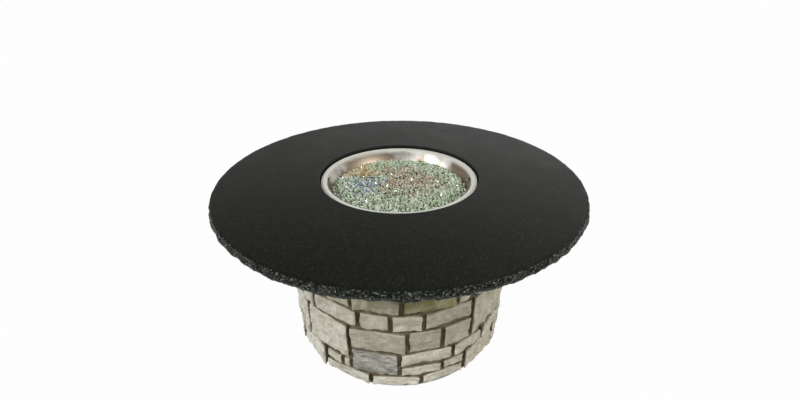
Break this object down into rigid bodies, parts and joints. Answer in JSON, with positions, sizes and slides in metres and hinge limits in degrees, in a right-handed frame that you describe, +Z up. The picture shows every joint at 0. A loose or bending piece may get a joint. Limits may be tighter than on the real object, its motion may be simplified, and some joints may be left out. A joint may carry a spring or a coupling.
{
  "type": "fire pit table",
  "caption": "Round fire pit table: granite slab with a rock-pitched edge on a stone-clad steel drum, drop-in gas burner pan with fire glass, access door and gas controls behind.",
  "frame": {"origin": "on the floor at the centre of the round base", "axes": "+Z up, the axis of the slab, pan and drum; the access door and gas controls face +Y; the seating side first seen faces -Y"},
  "size_m": [1.235, 1.235, 0.61],
  "materials": {
    "granite": "polished top, rock-pitched edge",
    "limestone": "split face",
    "mortar": "recessed joint",
    "cement_board": "rough",
    "galvanised_steel": "zinc coated",
    "rubber": "matt",
    "stainless_steel": "satin",
    "black_steel": "powder coated, fine texture",
    "brass": "machined",
    "spring_steel": "bright",
    "black_plastic": "moulded",
    "red_plastic": "moulded",
    "ceramic": "matt",
    "fire_glass": "tumbled chips",
    "pipe_steel": "black pipe",
    "silicone": "smooth",
    "copper": "drawn tube"
  },
  "bodies": {
    "table": {"granite_top": "granite", "top_ring": "galvanised_steel", "bottom_ring": "galvanised_steel", "foot_pads": "rubber", "studs_front": "galvanised_steel", "studs_front_side": "galvanised_steel", "studs_rear_side": "galvanised_steel", "studs_door": "galvanised_steel", "backer_board_front_right": "cement_board", "backer_board_rear_right": "cement_board", "backer_board_rear_left": "cement_board", "backer_board_front_left": "cement_board", "mortar": "mortar", "door_frame": "black_steel", "hinge_frame_halves": "black_steel", "hinge_pins": "spring_steel", "magnetic_catch": "black_plastic", "control_panel": "stainless_steel", "panel_screws": "stainless_steel", "control_valve": "brass", "valve_spring": "spring_steel", "igniter_module": "black_plastic", "igniter_nut": "galvanised_steel", "igniter_spring": "spring_steel", "vent_left": "black_steel", "vent_right": "black_steel", "burner_pan": "stainless_steel", "burner_ring": "stainless_steel", "burner_locknut": "brass", "air_mixer": "brass", "orifice_elbow": "brass", "pilot_bracket": "stainless_steel", "igniter_electrode": "ceramic", "thermocouple": "copper", "fire_glass": "fire_glass", "inlet_nipple": "pipe_steel", "shutoff_valve": "brass", "supply_hose": "stainless_steel", "burner_hose": "stainless_steel", "ignition_lead": "silicone", "thermocouple_lead": "copper", "flare_nuts": "brass", "stone_course_1": "limestone", "stone_course_2": "limestone", "stone_course_3": "limestone", "stone_course_4": "limestone", "stone_course_5": "limestone", "stone_course_6": "limestone", "stone_course_7": "limestone", "stone_course_8": "limestone"},
    "access_door": {"access_door": "black_steel", "hinge_door_halves": "black_steel", "door_pull": "stainless_steel", "catch_strike": "galvanised_steel"},
    "valve_plunger": {"valve_plunger": "brass"},
    "control_knob": {"control_knob": "black_plastic", "valve_stem": "brass"},
    "igniter_button": {"igniter_button": "red_plastic"},
    "shutoff_lever": {"shutoff_lever": "red_plastic"}
  },
  "joints": [
    {"name": "door_hinge", "type": "hinge", "parent": "table", "child": "access_door", "pos_m": [-0.158, 0.367, 0.255], "axis": [0, 0, 1], "range_deg": [0, 115]},
    {"name": "knob_push", "type": "slide", "parent": "table", "child": "valve_plunger", "axis": [0, -1, 0], "range_m": [0, 0.003], "stiffness_N_per_m": 900, "springref_m": -0.002, "deforming": ["valve_spring"]},
    {"name": "knob_turn", "type": "hinge", "parent": "valve_plunger", "child": "control_knob", "pos_m": [-0.07, 0.368, 0.44], "axis": [0, 1, 0], "range_deg": [0, 210]},
    {"name": "igniter_press", "type": "slide", "parent": "table", "child": "igniter_button", "axis": [0, -1, 0], "range_m": [0, 0.004], "stiffness_N_per_m": 800, "springref_m": -0.002, "deforming": ["igniter_spring"]},
    {"name": "shutoff_turn", "type": "hinge", "parent": "table", "child": "shutoff_lever", "pos_m": [0, 0.24, 0.1], "axis": [0, 0, -1], "range_deg": [0, 90]}
  ]
}
